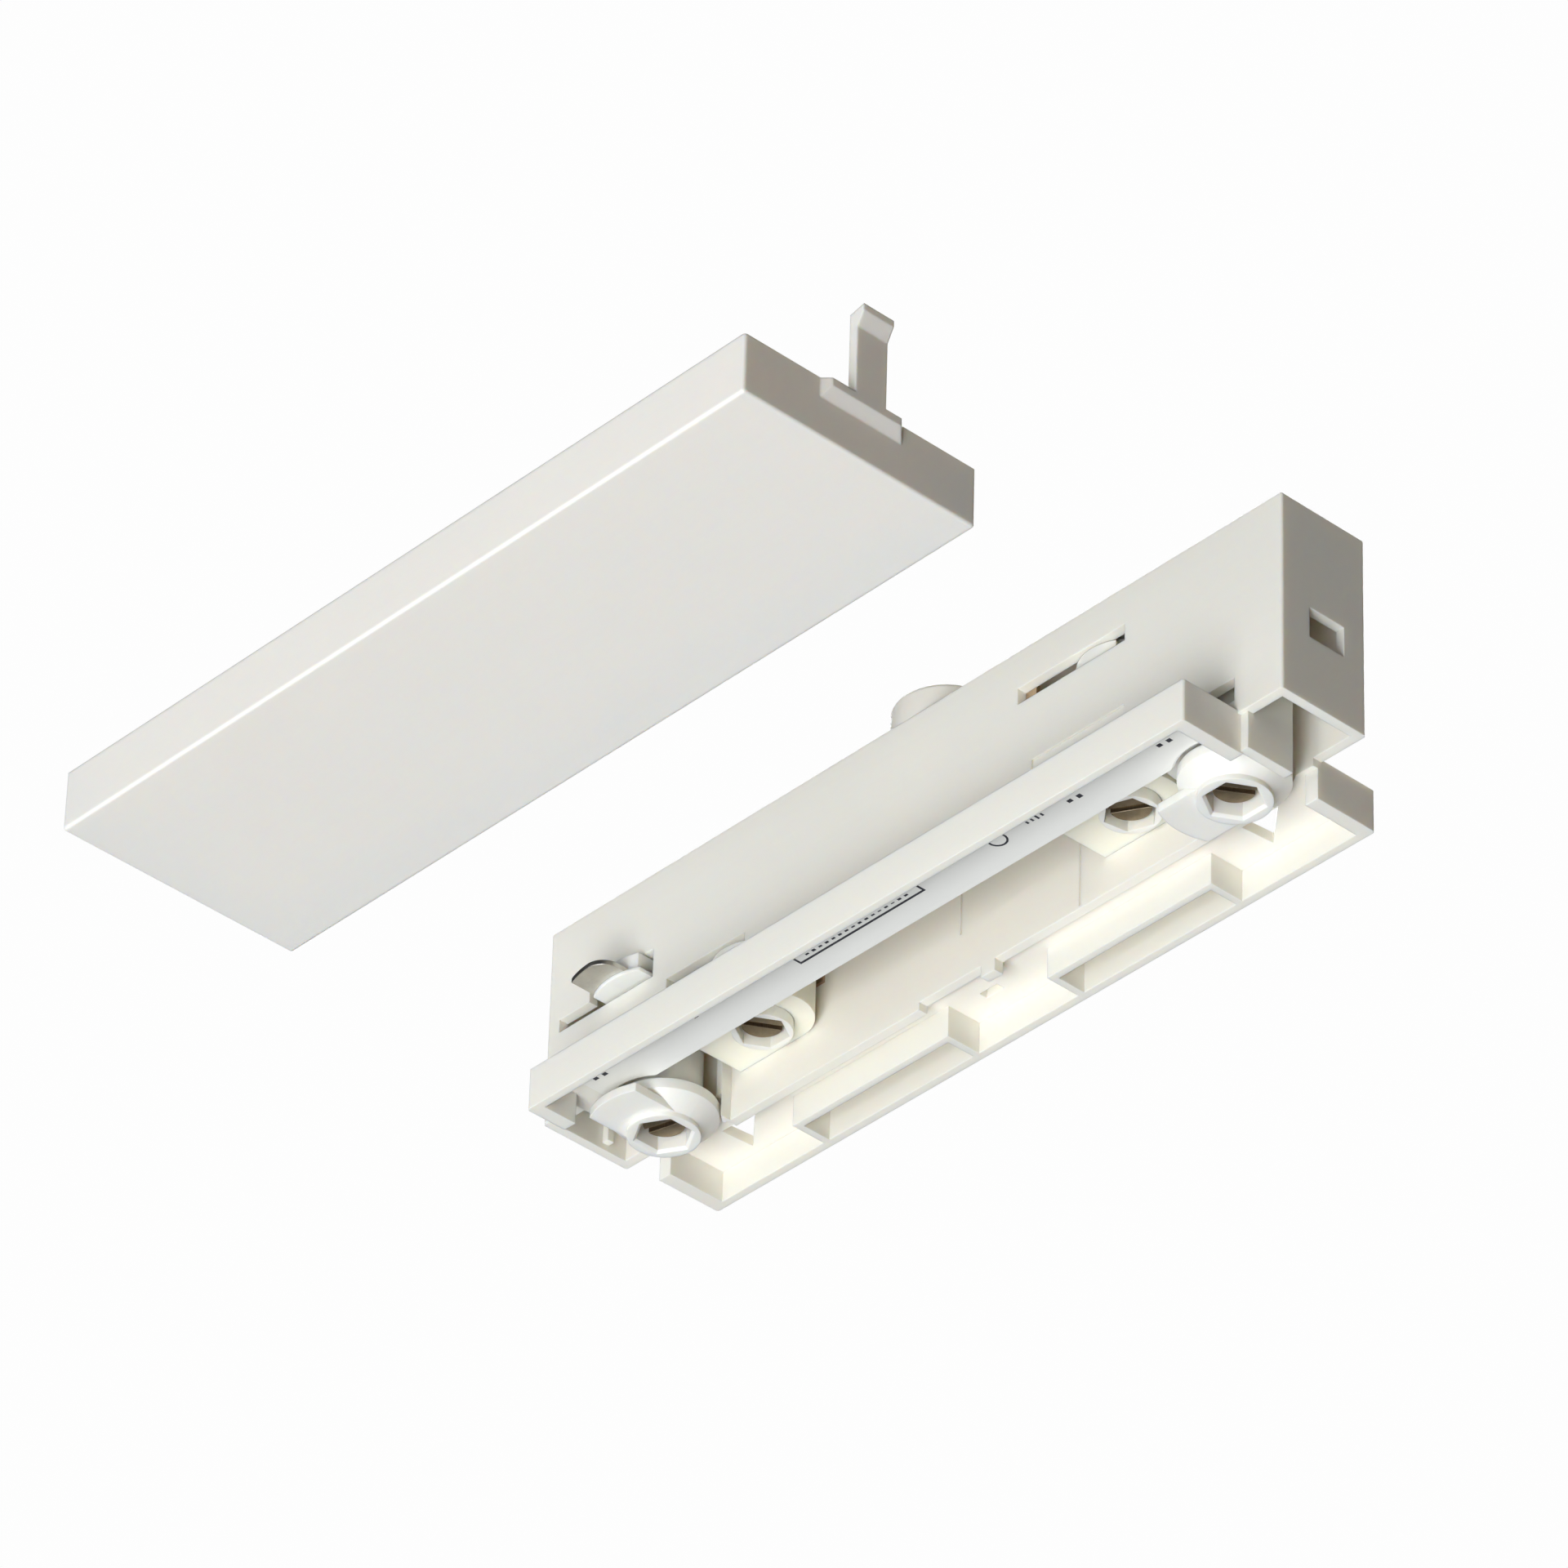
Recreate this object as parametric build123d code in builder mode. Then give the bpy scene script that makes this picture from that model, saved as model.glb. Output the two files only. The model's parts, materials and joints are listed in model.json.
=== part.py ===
from build123d import *
import math
import os

os.makedirs("parts", exist_ok=True)

# Frame: X runs along the feed, Z points up into the track, and the tray's top face
# lies on Z = 0. The viewer's side of the feed is -Y. All lengths are in millimetres.

# Clearances
running_gap = 0.06
sweep_gap = 0.4
end_play = 0.3

# Spine: the long hollow beam that goes up into the track
spine_half_width = 6.95
spine_top = 28.3
spine_rim = -0.4
side_wall = 1.4
end_wall = 1.3
roof = 1.5
corner_radius = 0.4
cavity_half_width = spine_half_width - side_wall
cavity_top = spine_top - roof

# Lengths along the feed, built up from the cable's way in to the spine's ends
terminal_inner_x = 6.2
terminal_end_wall = 0.9
pocket_half_width = 1.8
terminal_pitch = 5.0
first_pole = terminal_inner_x + terminal_end_wall + pocket_half_width
right_terminal_end = first_pole + terminal_pitch + pocket_half_width + terminal_end_wall
left_terminal_end = right_terminal_end + terminal_pitch
blade_reach = 9.5
blade_end_gap = 0.9
rotor_x = left_terminal_end + blade_end_gap + blade_reach
block_nose_offset = 1.25
lever_reach = 9.5
lever_end_gap = 1.2
lock_x = rotor_x + block_nose_offset + cavity_half_width + lever_end_gap + lever_reach
lock_to_tray_end = 7.4
tray_half_length = lock_x + lock_to_tray_end
tray_to_spine_end = 7.3
spine_half_length = tray_half_length + tray_to_spine_end
cavity_half_length = spine_half_length - end_wall

# Tray: the shallow upside-down box under the spine
tray_half_width = 15.85
tray_floor = -5.9
tray_long_wall = 1.15
tray_end_wall = 2.0
tray_ceiling = 1.5
tray_inner_x = tray_half_length - tray_end_wall
tray_inner_y = tray_half_width - tray_long_wall

# Cable boss on the roof
boss_setback = 0.05
boss_radius = spine_half_width - boss_setback
boss_height = 4.0
cable_radius = 4.25
boss_top = spine_top + boss_height

# Lock barrels
lock_ring_radius = 4.6
lock_flange_radius = 6.8
lock_wall_gap = 0.95
lock_body_radius = cavity_half_width - lock_wall_gap
lock_bottom = -5.8
lock_cone_bottom = -5.1
lock_cone_top = -3.1
lock_flange_top = -1.65
lever_bottom = -5.1
lever_top = -3.9
lever_half_width = 4.2
low_cam_bottom = 2.1
low_cam_top = 4.6
collar_bottom = 12.75
earth_blade_bottom = 13.3
earth_blade_top = 13.95
collar_top = 16.2
collar_reach = 9.65
cap_reach = 8.7
cap_half_width = 3.2
earth_blade_reach = 13.0
earth_blade_left = 4.35
earth_blade_right = 2.1
earth_blade_corner = 2.6
scallop_gap = 0.3
scallop_radius = lock_flange_radius + scallop_gap

# Hexagon sockets and the screws the barrels turn on
lock_hex = 6.2
lock_hex_lead = 0.35
rotor_hex = 5.9
screw_head_radius = 2.6
screw_head_height = 1.7
screw_shank_radius = 1.5
screw_slot_width = 0.9
screw_slot_depth = 0.8
thread_hold = 2.7
lock_head_depth = 1.7
rotor_head_depth = 1.05
screw_boss_radius = 3.4
screw_bore_radius = screw_shank_radius + running_gap

# Contact rotors and their blades
rotor_hub_radius = 3.8
rotor_bottom = 1.2
rotor_wall_gap = 0.75
rotor_body_radius = cavity_half_width - rotor_wall_gap
rotor_stem_radius = 2.6
blade_thickness = 1.0
blade_play = 0.7
blade_half_width = 3.2
low_blade_bottom = 9.1
high_blade_bottom = 20.9
right_socket_turn = 20
guard_setback = 0.35
guard_radius = spine_half_width - guard_setback
guard_margin = 0.4
guard_start = 45
guard_end = 120

# Bearing blocks round the rotor hubs
block_bottom = 2.8
block_top = 8.2
block_tail = 9.9
block_ear_half_length = 2.0
block_ear_depth = 0.6

# Heights reached by the screws, the barrels and the bosses they hang from
lock_top = 20.7
lock_boss_bottom = lock_top + end_play
rotor_top = 23.7
rotor_boss_bottom = rotor_top + end_play
lock_head_top = lock_bottom + lock_head_depth + screw_head_height
rotor_head_top = rotor_bottom + rotor_head_depth + screw_head_height
lock_screw_tip = lock_boss_bottom + thread_hold
rotor_screw_tip = rotor_boss_bottom + thread_hold - 0.4

# Terminals
terminal_bottom = 14.0
terminal_wall_gap = 0.6
terminal_back = cavity_half_width - terminal_wall_gap
pocket_front = -4.1
pocket_back = 2.5
pocket_bottom = 15.2
pocket_top = 25.2
wire_hole_radius = 1.4

# Busbars: flat strips that lie on the inner faces of the spine
strip = 0.6
wiper = 0.4
strip_half_width = 1.0
wiper_end = rotor_x + 2.2
high_wiper_bottom = 20.4
high_wiper_top = 22.4
low_wiper_bottom = 8.9
low_wiper_top = 10.3
far_wiper_bottom = 8.9
far_run_bottom = 11.0
far_run_top = 12.6
drop_reach = 5.0
earth_bottom = 13.0
earth_top = 15.0
earth_end = lock_x + 2.0

# Cover, shown taken off beside the tray
clip_room = 3.225
cover_half_length = cavity_half_length - clip_room
cover_half_width = 18.0
cover_y = -69.94
cover_bottom = 1.02
cover_rim = 9.32
cover_wall = 1.2
clip_y = 0.55
clip_half_width = 2.35
clip_height = 12.2
clip_thickness = 1.3
lip_reach = 1.0
lip_half_width = 6.35
hook_reach = 1.0


def block(x_span, y_span, z_span, mode=Mode.ADD):
    """Add or cut a box given by its lower and upper limit on each axis."""
    spans = (x_span, y_span, z_span)
    centre = tuple((low + high) / 2 for low, high in spans)
    sizes = [high - low for low, high in spans]
    with Locations(centre):
        Box(*sizes, mode=mode)


def drum(x, y, radius, z_span, mode=Mode.ADD):
    """Add or cut an upright cylinder."""
    low, high = z_span
    with Locations((x, y, (low + high) / 2)):
        Cylinder(radius, high - low, mode=mode)


def lobe(x, heading, half_width, reach, z_span, mode=Mode.ADD):
    """Add a flat arm that points along the heading and ends on an arc about the axis."""
    low, high = z_span
    turned = Plane(origin=(x, 0, low), x_dir=heading, z_dir=(0, 0, 1))
    with BuildSketch(turned) as arm:
        with Locations((reach / 2, 0)):
            Rectangle(reach, 2 * half_width)
        Circle(reach, mode=Mode.INTERSECT)
    extrude(arm.sketch, amount=high - low, mode=mode)


def socket(x, turn, across_flats, z_span):
    """Cut a hexagon socket with one corner at the given angle."""
    low, high = z_span
    with BuildSketch(Plane.XY.offset(low)) as outline:
        with Locations((x, 0)):
            RegularPolygon(across_flats / 2, 6, major_radius=False, rotation=turn)
    extrude(outline.sketch, amount=high - low, mode=Mode.SUBTRACT)


def lead_in(x, turn, across_flats, width, low):
    """Cut a sloping lead round a socket's mouth."""
    with BuildSketch(Plane.XY.offset(low)) as mouth:
        with Locations((x, 0)):
            RegularPolygon(across_flats / 2 + width, 6, major_radius=False, rotation=turn)
    with BuildSketch(Plane.XY.offset(low + width)) as throat:
        with Locations((x, 0)):
            RegularPolygon(across_flats / 2, 6, major_radius=False, rotation=turn)
    loft([mouth.sketch, throat.sketch], mode=Mode.SUBTRACT)


def triangle_hole(first, second, third):
    """Cut a three-cornered hole through the tray's ceiling."""
    with BuildSketch(Plane.XY.offset(-tray_ceiling)) as outline:
        Polygon(first, second, third, align=None)
    extrude(outline.sketch, amount=tray_ceiling, mode=Mode.SUBTRACT)


# Housing
with BuildPart() as housing:
    # Spine with rounded upright corners and softened roof edges
    with BuildSketch(Plane.XY.offset(spine_rim)):
        RectangleRounded(2 * spine_half_length, 2 * spine_half_width, corner_radius)
    extrude(amount=spine_top - spine_rim)
    fillet(housing.faces().sort_by(Axis.Z)[-1].edges(), radius=0.4)

    # Tray under it, hollow from below
    with BuildSketch(Plane.XY.offset(tray_floor)):
        RectangleRounded(2 * tray_half_length, 2 * tray_half_width, corner_radius)
    extrude(amount=-tray_floor)
    block(
        (-tray_inner_x, tray_inner_x),
        (-tray_inner_y, tray_inner_y),
        (tray_floor, -tray_ceiling),
        Mode.SUBTRACT,
    )

    # Far lip that hangs below the ceiling, with a small tooth
    far_lip = (cavity_half_width, spine_half_width)
    block((-lock_x + 5.5, -10.0), far_lip, (-3.5, -tray_ceiling))
    block((-10.0, lock_x - 9.5), far_lip, (-2.4, -tray_ceiling))
    block((0.8, 3.2), far_lip, (-4.1, -tray_ceiling))

    # Two long ribs on the far side, each with a short cross rib at both ends
    rib_front = 9.5
    rib_thickness = 1.0
    rib_back = rib_front + rib_thickness
    rib_height = (tray_floor, -tray_ceiling)
    for start, finish in ((8.2, rotor_x + 4.0), (-rotor_x - 4.5, -9.0)):
        block((start, finish), (rib_front, rib_back), rib_height)
        block((start, start + rib_thickness), (rib_back, tray_inner_y), rib_height)
        block((finish - rib_thickness, finish), (rib_back, tray_inner_y), rib_height)

    # Cavity of the spine, open through the tray's ceiling and end walls
    block(
        (-cavity_half_length, cavity_half_length),
        (-cavity_half_width, cavity_half_width),
        (tray_floor, cavity_top),
        Mode.SUBTRACT,
    )

    # Gaps in the tray's end walls that let the levers and the cover's clips pass
    block((-tray_half_length, -tray_inner_x), (-9.7, 6.0), (tray_floor, -tray_ceiling), Mode.SUBTRACT)
    right_gap = (-6.1, 6.3)
    block((tray_inner_x, tray_half_length), right_gap, (tray_floor, -tray_ceiling), Mode.SUBTRACT)

    # Partition between the left lock and the left rotor
    partition_thickness = 1.0
    partition_x = -lock_x + 5.9
    partition_y = (cavity_half_width - 1.6, cavity_half_width)
    partition_z = (-3.5, earth_bottom - 1.0)
    block((partition_x - partition_thickness, partition_x), partition_y, partition_z)

    # Round reliefs about the lock barrels
    for x in (-lock_x, lock_x):
        drum(x, 0, scallop_radius, (tray_floor, -0.3), Mode.SUBTRACT)

    # Guide rib for the right clip, and catches that hold both clips
    guide_thickness = 1.0
    guide_x = cavity_half_length - 4.8
    guide_foot_x = lock_x + scallop_radius + 0.1
    guide_tip = 1.0
    guide_top = cavity_top / 2 - 1.4
    block((guide_x - guide_thickness, guide_x), (-cavity_half_width, guide_tip), (spine_rim, guide_top))
    guide_foot_z = (tray_floor + 0.3, spine_rim + 0.3)
    block((guide_foot_x, guide_x), (right_gap[0] - 0.3, guide_tip), guide_foot_z)
    block((-cavity_half_length, -cavity_half_length + guide_thickness), (1.7, 2.7), (0.5, guide_top - 5.0))
    catch_reach = 1.6
    for side in (-1, 1):
        near_end = side * cavity_half_length
        tip = side * (cavity_half_length - catch_reach)
        with BuildSketch(Plane.XZ.offset(-clip_y - 2.6)) as catch:
            Polygon((near_end, 6.6), (near_end, 10.4), (tip, 10.4), (tip, 9.3), align=None)
        extrude(catch.sketch, amount=5.2)

    # Bosses under the roof for the pivot screws
    for x in (-lock_x, lock_x):
        drum(x, 0, screw_boss_radius, (lock_boss_bottom, cavity_top))
        drum(x, 0, screw_shank_radius, (lock_boss_bottom, lock_screw_tip), Mode.SUBTRACT)
    for x in (-rotor_x, rotor_x):
        drum(x, 0, screw_boss_radius, (rotor_boss_bottom, cavity_top))
        drum(x, 0, screw_shank_radius, (rotor_boss_bottom, rotor_screw_tip), Mode.SUBTRACT)

    # Recesses for the ears of the bearing blocks
    for x in (-rotor_x, rotor_x):
        for side in (-1, 1):
            inner = side * cavity_half_width
            outer = side * (cavity_half_width + block_ear_depth)
            block(
                (x - block_ear_half_length, x + block_ear_half_length),
                (min(inner, outer), max(inner, outer)),
                (4.5, 6.5),
                Mode.SUBTRACT,
            )

    # Slots in the near wall
    near_wall = (-spine_half_width, -cavity_half_width)
    far_wall = (cavity_half_width, spine_half_width)
    lock_slot_end = -lock_x + lever_half_width + 0.5
    earth_slot = (-lock_x - 12.5, lock_slot_end)
    block(earth_slot, near_wall, (collar_bottom - 0.35, earth_blade_top + 0.35), Mode.SUBTRACT)
    block((-lock_x - 7.0, lock_slot_end), near_wall, (collar_bottom, collar_top + sweep_gap), Mode.SUBTRACT)
    cam_slot = (low_cam_bottom - sweep_gap, low_cam_top + sweep_gap)
    block((-lock_x - 8.4, lock_slot_end), near_wall, cam_slot, Mode.SUBTRACT)
    block((lock_x - 8.5, lock_x + 6.9), near_wall, cam_slot, Mode.SUBTRACT)
    low_slot = (low_blade_bottom - blade_play, low_blade_bottom + blade_thickness + blade_play)
    high_slot = (high_blade_bottom - blade_play, high_blade_bottom + blade_thickness + blade_play)
    shallow = (-spine_half_width, -spine_half_width + 0.3)
    block((rotor_x - 12.3, rotor_x + 6.0), near_wall, high_slot, Mode.SUBTRACT)
    block((rotor_x - 9.8, rotor_x + 6.0), shallow, low_slot, Mode.SUBTRACT)
    block((-rotor_x - 10.2, -rotor_x + 4.0), near_wall, low_slot, Mode.SUBTRACT)

    # Slots in the far wall
    block((-rotor_x - 4.0, -rotor_x + 10.2), far_wall, high_slot, Mode.SUBTRACT)
    block((rotor_x - 4.0, rotor_x + 10.2), far_wall, low_slot, Mode.SUBTRACT)

    # Windows in the end walls, level with the catches
    block((-spine_half_length, -cavity_half_length), (-2.3, 3.4), (9.3, 13.6), Mode.SUBTRACT)
    block((cavity_half_length, spine_half_length), (-2.3, 3.4), (9.3, 13.6), Mode.SUBTRACT)

    # Drain and release holes in the ceiling
    triangle_hole((lock_x - 7.3, 8.5), (lock_x - 1.3, 8.5), (lock_x - 6.9, 13.3))
    triangle_hole((-lock_x + 1.1, 8.5), (-lock_x + 7.1, 8.5), (-lock_x + 1.5, 13.4))
    block((-4.5, -1.5), (10.4, 11.6), (-tray_ceiling, 0), Mode.SUBTRACT)

    # Parting grooves on the inside of the far wall
    groove_depth = 0.2
    groove_half_width = 0.15
    for x, low in ((17.8, -2.0), (-2.8, 4.0)):
        across = (x - groove_half_width, x + groove_half_width)
        block(across, (cavity_half_width, cavity_half_width + groove_depth), (low, guide_top), Mode.SUBTRACT)

    # Cable boss and the cable's way in
    drum(0, 0, boss_radius, (spine_top - 0.5, boss_top))
    fillet(housing.faces().sort_by(Axis.Z)[-1].edges(), radius=0.4)
    drum(0, 0, cable_radius, (cavity_top, boss_top), Mode.SUBTRACT)
housing.part.label = "housing"

# Cover
with BuildPart() as cover:
    with BuildSketch(Plane.XY.offset(cover_bottom)):
        with Locations((0, cover_y)):
            RectangleRounded(2 * cover_half_length, 2 * cover_half_width, corner_radius)
    extrude(amount=cover_rim - cover_bottom)
    fillet(cover.faces().sort_by(Axis.Z)[0].edges(), radius=0.38)
    block(
        (-cover_half_length + cover_wall, cover_half_length - cover_wall),
        (cover_y - cover_half_width + cover_wall, cover_y + cover_half_width - cover_wall),
        (cover_bottom + cover_wall, cover_rim),
        Mode.SUBTRACT,
    )
    # Lip, leg and hook at both ends
    clip_top = cover_rim + clip_height
    for side in (-1, 1):
        wall_face = side * cover_half_length
        lip_face = side * (cover_half_length + lip_reach)
        leg_back = side * (cover_half_length + lip_reach - clip_thickness)
        hook_face = side * (cover_half_length + lip_reach + hook_reach)
        wall_back = side * (cover_half_length - cover_wall)
        with BuildSketch(Plane.XZ.offset(-cover_y - lip_half_width)) as lip:
            Polygon(
                (wall_back, cover_rim),
                (lip_face, cover_rim),
                (lip_face, cover_rim - 1.1),
                (wall_face, cover_rim - 2.7),
                (wall_back, cover_rim - 2.7),
                align=None,
            )
        extrude(lip.sketch, amount=2 * lip_half_width)
        with BuildSketch(Plane.XZ.offset(-cover_y - clip_y - clip_half_width)) as clip:
            Polygon(
                (leg_back, cover_rim - 1.0),
                (lip_face, cover_rim - 1.0),
                (lip_face, clip_top - 2.8),
                (hook_face, clip_top - 0.9),
                (hook_face, clip_top),
                (leg_back, clip_top - 0.5),
                align=None,
            )
        extrude(clip.sketch, amount=2 * clip_half_width)
    # Slanted ends of the lips
    for side in (-1, 1):
        for end in (-1, 1):
            wall_face = side * cover_half_length
            lip_face = side * (cover_half_length + lip_reach)
            corner = cover_y + end * lip_half_width
            with BuildSketch(Plane.XY.offset(cover_rim - 3.0)) as slant:
                Polygon(
                    (wall_face, corner),
                    (lip_face + side, corner),
                    (lip_face + side, corner - end * 2.0),
                    align=None,
                )
            extrude(slant.sketch, amount=3.0, mode=Mode.SUBTRACT)
cover.part.label = "cover"

# Lock barrels
toward_near = (0, -1, 0)
toward_far = (0, 1, 0)
toward_left = (-1, 0, 0)
toward_right = (1, 0, 0)


def barrel(x, heading, turn):
    """Add one lock barrel: ring, cone, flange, body, lever, lower cam, socket and bore."""
    drum(x, 0, lock_ring_radius, (lock_bottom, lock_cone_top))
    with Locations((x, 0, (lock_cone_bottom + lock_cone_top) / 2)):
        Cone(lock_ring_radius, lock_flange_radius, lock_cone_top - lock_cone_bottom)
    drum(x, 0, lock_flange_radius, (lock_cone_top, lock_flange_top))
    drum(x, 0, lock_body_radius, (lock_flange_top, lock_top))
    lobe(x, heading, lever_half_width, lever_reach, (lever_bottom, lever_top))
    lobe(x, heading, lever_half_width, lever_reach, (low_cam_bottom, low_cam_top))
    socket(x, turn, lock_hex, (lock_bottom, lock_head_top + end_play))
    lead_in(x, turn, lock_hex, lock_hex_lead, lock_bottom)
    drum(x, 0, screw_bore_radius, (lock_bottom, lock_top), Mode.SUBTRACT)


with BuildPart() as lock_barrel_left:
    barrel(-lock_x, toward_near, 30)
    lobe(-lock_x, toward_near, lever_half_width, collar_reach, (collar_bottom, earth_blade_bottom))
    lobe(-lock_x, toward_near, cap_half_width, cap_reach, (earth_blade_top, collar_top))
    drum(-lock_x, 0, lock_body_radius, (earth_blade_bottom, earth_blade_top), Mode.SUBTRACT)
    drum(-lock_x, 0, rotor_stem_radius, (earth_blade_bottom, earth_blade_top))
    drum(-lock_x, 0, screw_bore_radius, (lock_bottom, lock_top), Mode.SUBTRACT)
lock_barrel_left.part.label = "lock barrel left"

with BuildPart() as lock_barrel_right:
    barrel(lock_x, toward_left, 0)
lock_barrel_right.part.label = "lock barrel right"

# Contact blades
def blade(x, heading, bottom, mode=Mode.ADD):
    """Add one flat blade: a disc round the rotor's stem with an arm on it."""
    span = (bottom, bottom + blade_thickness)
    drum(x, 0, rotor_body_radius, span, mode)
    lobe(x, heading, blade_half_width, blade_reach, span, mode)
    if mode == Mode.ADD:
        drum(x, 0, rotor_stem_radius, span, Mode.SUBTRACT)


with BuildPart() as contact_blade_1:
    blade(-rotor_x, toward_left, low_blade_bottom)
contact_blade_1.part.label = "contact blade 1"

with BuildPart() as contact_blade_2:
    blade(-rotor_x, toward_right, high_blade_bottom)
contact_blade_2.part.label = "contact blade 2"

with BuildPart() as contact_blade_3:
    blade(rotor_x, toward_left, high_blade_bottom)
contact_blade_3.part.label = "contact blade 3"

with BuildPart() as contact_blade_4:
    blade(rotor_x, toward_right, low_blade_bottom)
contact_blade_4.part.label = "contact blade 4"


def guard(x, heading, span):
    """Add the wedge of a disc that fills the wall slot next to a blade."""
    low, high = span
    reach = 2 * guard_radius
    corners = [(0, 0)]
    for angle in (math.radians(guard_start), math.radians(guard_end)):
        corners.append((reach * math.cos(angle), reach * math.sin(angle)))
    with BuildSketch(Plane(origin=(x, 0, low), x_dir=heading, z_dir=(0, 0, 1))) as wedge:
        Polygon(*corners, align=None)
        Circle(guard_radius, mode=Mode.INTERSECT)
    extrude(wedge.sketch, amount=high - low)


def rotor(x, turn, low_heading, high_heading):
    """Add one contact rotor: hub, body, guards, gaps for the two blades, socket and bore."""
    drum(x, 0, rotor_hub_radius, (rotor_bottom, block_top + end_play))
    drum(x, 0, rotor_body_radius, (block_top + end_play, rotor_top))
    for bottom, heading in ((low_blade_bottom, low_heading), (high_blade_bottom, high_heading)):
        span = (bottom, bottom + blade_thickness)
        guard(x, heading, (span[0] - guard_margin, span[1] + guard_margin))
        drum(x, 0, rotor_body_radius + running_gap, span, Mode.SUBTRACT)
        drum(x, 0, rotor_stem_radius, span)
    socket(x, turn, rotor_hex, (rotor_bottom, rotor_head_top + end_play))
    drum(x, 0, screw_bore_radius, (rotor_bottom, rotor_top), Mode.SUBTRACT)


with BuildPart() as contact_rotor_left:
    rotor(-rotor_x, 0, toward_left, toward_right)
contact_rotor_left.part.label = "contact rotor left"

with BuildPart() as contact_rotor_right:
    rotor(rotor_x, right_socket_turn, toward_right, toward_left)
contact_rotor_right.part.label = "contact rotor right"


# Bearing blocks that hold the rotor hubs
def bearing_block(x):
    """Add one block: square tail on the left, half-round nose on the right, bored for the hub."""
    span = (block_bottom, block_top)
    nose = x + block_nose_offset
    block((x - block_tail, nose), (-cavity_half_width, cavity_half_width), span)
    drum(nose, 0, cavity_half_width, span)
    ear_reach = cavity_half_width + block_ear_depth
    block((x - block_ear_half_length, x + block_ear_half_length), (-ear_reach, ear_reach), (4.5, 6.5))
    drum(x, 0, rotor_hub_radius + running_gap, span, Mode.SUBTRACT)


with BuildPart() as bearing_block_left:
    bearing_block(-rotor_x)
bearing_block_left.part.label = "bearing block left"

with BuildPart() as bearing_block_right:
    bearing_block(rotor_x)
bearing_block_right.part.label = "bearing block right"


# Pivot screws, two long ones for the locks and two short ones for the rotors
def screw(x, head_top, tip, slot_turn):
    """Add one screw with a slotted head at its lower end."""
    head_bottom = head_top - screw_head_height
    drum(x, 0, screw_head_radius, (head_bottom, head_top))
    drum(x, 0, screw_shank_radius, (head_top, tip))
    with BuildSketch(Plane.XY.offset(head_bottom)) as slot:
        with Locations((x, 0)):
            Rectangle(3 * screw_head_radius, screw_slot_width, rotation=slot_turn)
    extrude(slot.sketch, amount=screw_slot_depth, mode=Mode.SUBTRACT)


with BuildPart() as lock_screws:
    screw(-lock_x, lock_head_top, lock_screw_tip, 15)
    screw(lock_x, lock_head_top, lock_screw_tip, 57)
lock_screws.part.label = "lock screws"

with BuildPart() as rotor_screws:
    screw(-rotor_x, rotor_head_top, rotor_screw_tip, 60)
    screw(rotor_x, rotor_head_top, rotor_screw_tip, 30)
rotor_screws.part.label = "rotor screws"

# Busbars
left_pole_1 = -(first_pole + 2 * terminal_pitch)
left_pole_2 = -(first_pole + terminal_pitch)
left_pole_3 = -first_pole
right_pole_1 = first_pole + terminal_pitch
right_pole_2 = first_pole
near_face = -cavity_half_width
far_face = cavity_half_width


def pole_strip(x):
    """Add the strip that a wire is clamped against inside its pocket."""
    block((x - 1.5, x + 1.5), (pocket_front, pocket_front + strip), (pocket_bottom + 0.2, pocket_top))


def bridge(x, low):
    """Add the strip that goes over the pocket and down the far wall."""
    across = (x - strip_half_width, x + strip_half_width)
    block(across, (pocket_front, far_face), (pocket_top, pocket_top + 0.8))
    block(across, (far_face - strip, far_face), (low, pocket_top + 0.8))


with BuildPart() as busbar_1:
    pole_strip(left_pole_1)
    stub = (left_pole_1 - strip_half_width, left_pole_1 + strip_half_width)
    block(stub, (near_face, pocket_front), (high_wiper_bottom, high_wiper_top))
    block((-wiper_end, left_pole_1), (near_face, near_face + wiper), (high_wiper_bottom, high_wiper_top))
busbar_1.part.label = "busbar 1"

with BuildPart() as busbar_2:
    pole_strip(left_pole_3)
    bridge(left_pole_3, far_run_bottom)
    run = (-wiper_end, left_pole_3 + strip_half_width)
    against_far = (far_face - wiper, far_face)
    block(run, against_far, (far_run_bottom, far_run_top))
    block((-wiper_end, -rotor_x + drop_reach), against_far, (far_wiper_bottom, far_run_top))
busbar_2.part.label = "busbar 2"

with BuildPart() as busbar_3:
    pole_strip(right_pole_1)
    bridge(right_pole_1, high_wiper_bottom)
    run = (right_pole_1 - strip_half_width, wiper_end)
    block(run, (far_face - wiper, far_face), (high_wiper_bottom, high_wiper_top))
busbar_3.part.label = "busbar 3"

with BuildPart() as busbar_4:
    pole_strip(right_pole_2)
    stub = (right_pole_2 - strip_half_width, right_pole_2 + strip_half_width)
    high_run = (23.2, pocket_top)
    drop = (rotor_x - 12.7, rotor_x - 10.5)
    block(stub, (near_face, pocket_front), high_run)
    block((right_pole_2, drop[1]), (near_face, near_face + strip), high_run)
    block(drop, (near_face, near_face + strip), (low_wiper_bottom, pocket_top))
    block((drop[0], wiper_end), (near_face, near_face + wiper), (low_wiper_bottom, low_wiper_top))
busbar_4.part.label = "busbar 4"

# Earth bar along the far wall
with BuildPart() as earth_bar:
    pole_strip(left_pole_2)
    bridge(left_pole_2, earth_bottom)
    run = (-earth_end, left_pole_2 + strip_half_width)
    block(run, (far_face - wiper, far_face), (earth_bottom, earth_top))
earth_bar.part.label = "earth bar"

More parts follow.
